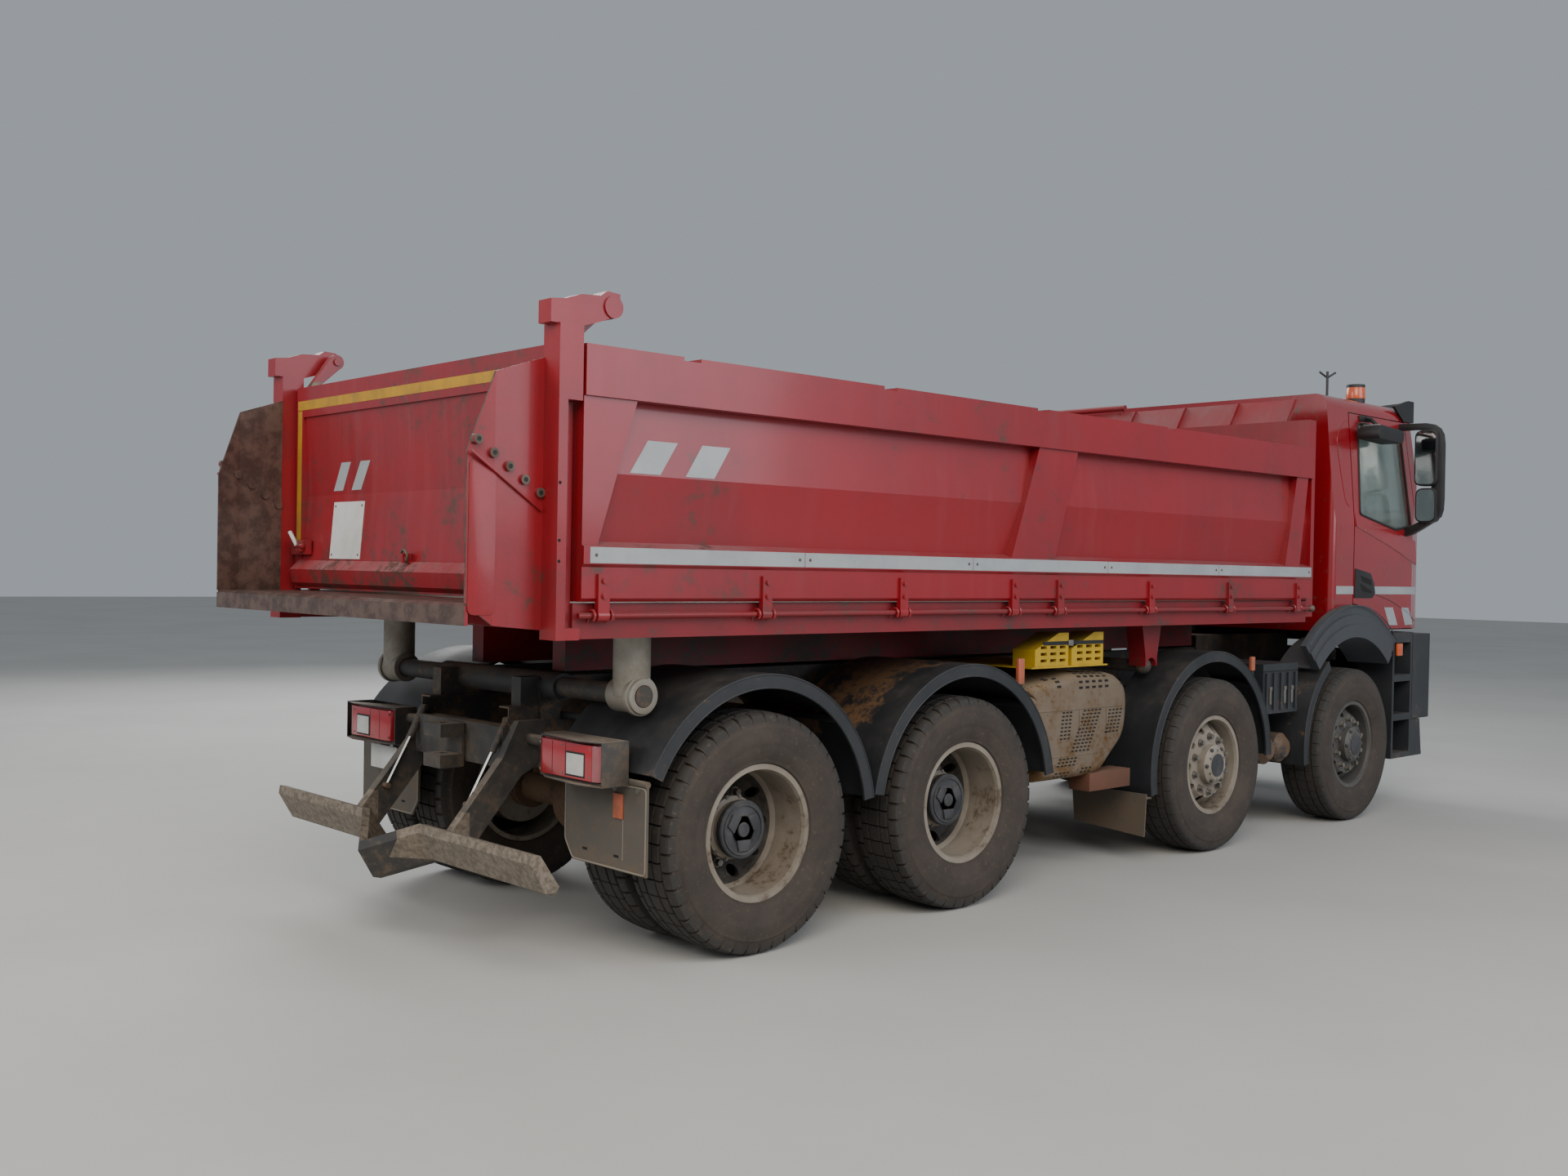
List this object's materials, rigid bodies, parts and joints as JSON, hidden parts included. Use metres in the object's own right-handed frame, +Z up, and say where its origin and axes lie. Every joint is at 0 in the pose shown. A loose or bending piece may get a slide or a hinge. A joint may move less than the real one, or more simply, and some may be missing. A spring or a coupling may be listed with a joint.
{
  "type": "four-axle tipper truck",
  "caption": "Heavy rigid tipper truck with a tilting load bed, dropping side boards, swinging tailgate, telescopic hoist and a tilting day cab.",
  "frame": {"origin": "on the ground below the middle of the truck's overall length and width", "axes": "+X forward towards the cab, +Y to the truck's left, +Z up"},
  "size_m": [8.54, 2.84, 3.1758],
  "materials": {
    "body_red": "aged glossy coat with a film of dust",
    "bed_red": "worn coat, scratched and rusty where the load runs",
    "chassis_grey": "matt coat under dried mud",
    "axle_iron": "painted casting under road dirt",
    "spring_steel": "dirty spring steel",
    "fender_plastic": "grained polypropylene with splashed mud",
    "arch_grey": "grained grey moulding",
    "trim_black": "grained black moulding",
    "flap_rubber": "dusty sheet rubber",
    "tyre_rubber": "worn tread rubber with dried mud",
    "wheel_silver": "silver coat dulled by brake dust and mud",
    "tank_alloy": "mill finish, dusty",
    "exhaust_steel": "pierced heat shield, heat stained",
    "chock_yellow": "moulded yellow plastic",
    "lamp_lens": "clear-over-red acrylic",
    "ram_steel": "hard chromed tube",
    "window_glass": "tinted safety glass",
    "seat_cloth": "woven seat cloth",
    "mirror_black": "grained black housing"
  },
  "bodies": {
    "chassis": {"frame_rails": "chassis_grey", "tipper_subframe": "chassis_grey", "driveline": "axle_iron", "drive_axles": "axle_iron", "front_axles": "axle_iron", "leaf_springs": "spring_steel", "fenders": "fender_plastic", "mud_flaps": "flap_rubber", "fuel_tank": "tank_alloy", "silencer": "exhaust_steel", "battery_box": "trim_black", "air_tanks": "chassis_grey", "wheel_chocks": "chock_yellow", "underrun_bar": "chassis_grey", "front_bumper": "arch_grey", "lamps": "lamp_lens", "cab_steps": "arch_grey"},
    "cab": {"cab_shell": "body_red", "cab_glass": "window_glass", "cab_arches": "arch_grey", "cab_trim": "trim_black", "seats": "seat_cloth", "dashboard": "trim_black"},
    "bed": {"bed_floor": "bed_red", "bed_front_wall": "bed_red", "rear_frame": "bed_red"},
    "tailgate": {"tailgate": "bed_red"},
    "hoist_barrel": {"hoist_barrel": "chassis_grey"},
    "door_left": {"door_left": "body_red", "door_glass_left": "window_glass", "mirror_left": "mirror_black"},
    "side_board_left": {"side_board_left": "bed_red"},
    "knuckle_1_left": {"knuckle_1_left": "axle_iron"},
    "knuckle_2_left": {"knuckle_2_left": "axle_iron"},
    "wheel_1_left": {"tyre_1_left": "tyre_rubber", "rim_1_left": "wheel_silver"},
    "wheel_2_left": {"tyre_2_left": "tyre_rubber", "rim_2_left": "wheel_silver"},
    "wheel_3_left": {"tyre_3_left": "tyre_rubber", "rim_3_left": "wheel_silver"},
    "wheel_4_left": {"tyre_4_left": "tyre_rubber", "rim_4_left": "wheel_silver"},
    "door_right": {"door_right": "body_red", "door_glass_right": "window_glass", "mirror_right": "mirror_black"},
    "side_board_right": {"side_board_right": "bed_red"},
    "knuckle_1_right": {"knuckle_1_right": "axle_iron"},
    "knuckle_2_right": {"knuckle_2_right": "axle_iron"},
    "wheel_1_right": {"tyre_1_right": "tyre_rubber", "rim_1_right": "wheel_silver"},
    "wheel_2_right": {"tyre_2_right": "tyre_rubber", "rim_2_right": "wheel_silver"},
    "wheel_3_right": {"tyre_3_right": "tyre_rubber", "rim_3_right": "wheel_silver"},
    "wheel_4_right": {"tyre_4_right": "tyre_rubber", "rim_4_right": "wheel_silver"},
    "hoist_stage_1": {"hoist_stage_1": "ram_steel"},
    "hoist_stage_2": {"hoist_stage_2": "ram_steel"},
    "hoist_stage_3": {"hoist_stage_3": "ram_steel"},
    "hoist_stage_4": {"hoist_stage_4": "ram_steel"}
  },
  "joints": [
    {"name": "bed_tilt", "type": "hinge", "parent": "chassis", "child": "bed", "pos_m": [-3.37, 0, 1.15], "axis": [0, -1, 0], "range_deg": [0, 48]},
    {"name": "hoist_swing", "type": "hinge", "parent": "chassis", "child": "hoist_barrel", "pos_m": [-1.12, 0, 1.05], "axis": [0, -1, 0], "range_deg": [0, 26]},
    {"name": "hoist_slide_1", "type": "slide", "parent": "hoist_barrel", "child": "hoist_stage_1", "axis": [0, 0, 1], "range_m": [0, 0.455]},
    {"name": "hoist_slide_2", "type": "slide", "parent": "hoist_stage_1", "child": "hoist_stage_2", "axis": [0, 0, 1], "range_m": [0, 0.455]},
    {"name": "hoist_slide_3", "type": "slide", "parent": "hoist_stage_2", "child": "hoist_stage_3", "axis": [0, 0, 1], "range_m": [0, 0.455]},
    {"name": "hoist_slide_4", "type": "slide", "parent": "hoist_stage_3", "child": "hoist_stage_4", "axis": [0, 0, 1], "range_m": [0, 0.455]},
    {"name": "tailgate_swing", "type": "hinge", "parent": "bed", "child": "tailgate", "pos_m": [-3.69, 0, 2.71], "axis": [0, 1, 0], "range_deg": [0, 65]},
    {"name": "side_board_left_drop", "type": "hinge", "parent": "bed", "child": "side_board_left", "pos_m": [-0.9, 1.255, 1.497], "axis": [-1, 0, 0], "range_deg": [0, 100]},
    {"name": "side_board_right_drop", "type": "hinge", "parent": "bed", "child": "side_board_right", "pos_m": [-0.9, -1.255, 1.497], "axis": [1, 0, 0], "range_deg": [0, 100]},
    {"name": "cab_tilt", "type": "hinge", "parent": "chassis", "child": "cab", "pos_m": [4.145, 0, 1.09], "axis": [0, 1, 0], "range_deg": [0, 50]},
    {"name": "door_left_swing", "type": "hinge", "parent": "cab", "child": "door_left", "pos_m": [3.9, 1.15, 2], "axis": [0, 0, -1], "range_deg": [0, 70]},
    {"name": "door_right_swing", "type": "hinge", "parent": "cab", "child": "door_right", "pos_m": [3.9, -1.15, 2], "axis": [0, 0, 1], "range_deg": [0, 70]},
    {"name": "steer_1_left", "type": "hinge", "parent": "chassis", "child": "knuckle_1_left", "pos_m": [2.82, 0.92, 0.535], "axis": [0, 0, 1], "range_deg": [-32, 32]},
    {"name": "steer_1_right", "type": "hinge", "parent": "chassis", "child": "knuckle_1_right", "pos_m": [2.82, -0.92, 0.535], "axis": [0, 0, 1], "range_deg": [-32, 32]},
    {"name": "steer_2_left", "type": "hinge", "parent": "chassis", "child": "knuckle_2_left", "pos_m": [0.98, 0.92, 0.535], "axis": [0, 0, 1], "range_deg": [-20, 20]},
    {"name": "steer_2_right", "type": "hinge", "parent": "chassis", "child": "knuckle_2_right", "pos_m": [0.98, -0.92, 0.535], "axis": [0, 0, 1], "range_deg": [-20, 20]},
    {"name": "roll_1_left", "type": "hinge", "parent": "knuckle_1_left", "child": "wheel_1_left", "pos_m": [2.82, 0, 0.535], "axis": [0, 1, 0], "continuous": true},
    {"name": "roll_1_right", "type": "hinge", "parent": "knuckle_1_right", "child": "wheel_1_right", "pos_m": [2.82, 0, 0.535], "axis": [0, 1, 0], "continuous": true},
    {"name": "roll_2_left", "type": "hinge", "parent": "knuckle_2_left", "child": "wheel_2_left", "pos_m": [0.98, 0, 0.535], "axis": [0, 1, 0], "continuous": true},
    {"name": "roll_2_right", "type": "hinge", "parent": "knuckle_2_right", "child": "wheel_2_right", "pos_m": [0.98, 0, 0.535], "axis": [0, 1, 0], "continuous": true},
    {"name": "roll_3_left", "type": "hinge", "parent": "chassis", "child": "wheel_3_left", "pos_m": [-1.43, 0, 0.535], "axis": [0, 1, 0], "continuous": true},
    {"name": "roll_3_right", "type": "hinge", "parent": "chassis", "child": "wheel_3_right", "pos_m": [-1.43, 0, 0.535], "axis": [0, 1, 0], "continuous": true},
    {"name": "roll_4_left", "type": "hinge", "parent": "chassis", "child": "wheel_4_left", "pos_m": [-2.82, 0, 0.535], "axis": [0, 1, 0], "continuous": true},
    {"name": "roll_4_right", "type": "hinge", "parent": "chassis", "child": "wheel_4_right", "pos_m": [-2.82, 0, 0.535], "axis": [0, 1, 0], "continuous": true}
  ],
  "couplings": [
    {"joint": "hoist_swing", "follows": "bed_tilt", "ratio": 0.5333},
    {"joint": "hoist_slide_1", "follows": "bed_tilt", "m_per_rad": 0.5375},
    {"joint": "hoist_slide_2", "follows": "bed_tilt", "m_per_rad": 0.5375},
    {"joint": "hoist_slide_3", "follows": "bed_tilt", "m_per_rad": 0.5375},
    {"joint": "hoist_slide_4", "follows": "bed_tilt", "m_per_rad": 0.5375},
    {"joint": "steer_1_right", "follows": "steer_1_left", "ratio": 1},
    {"joint": "steer_2_left", "follows": "steer_1_left", "ratio": 0.62},
    {"joint": "steer_2_right", "follows": "steer_1_left", "ratio": 0.62}
  ]
}
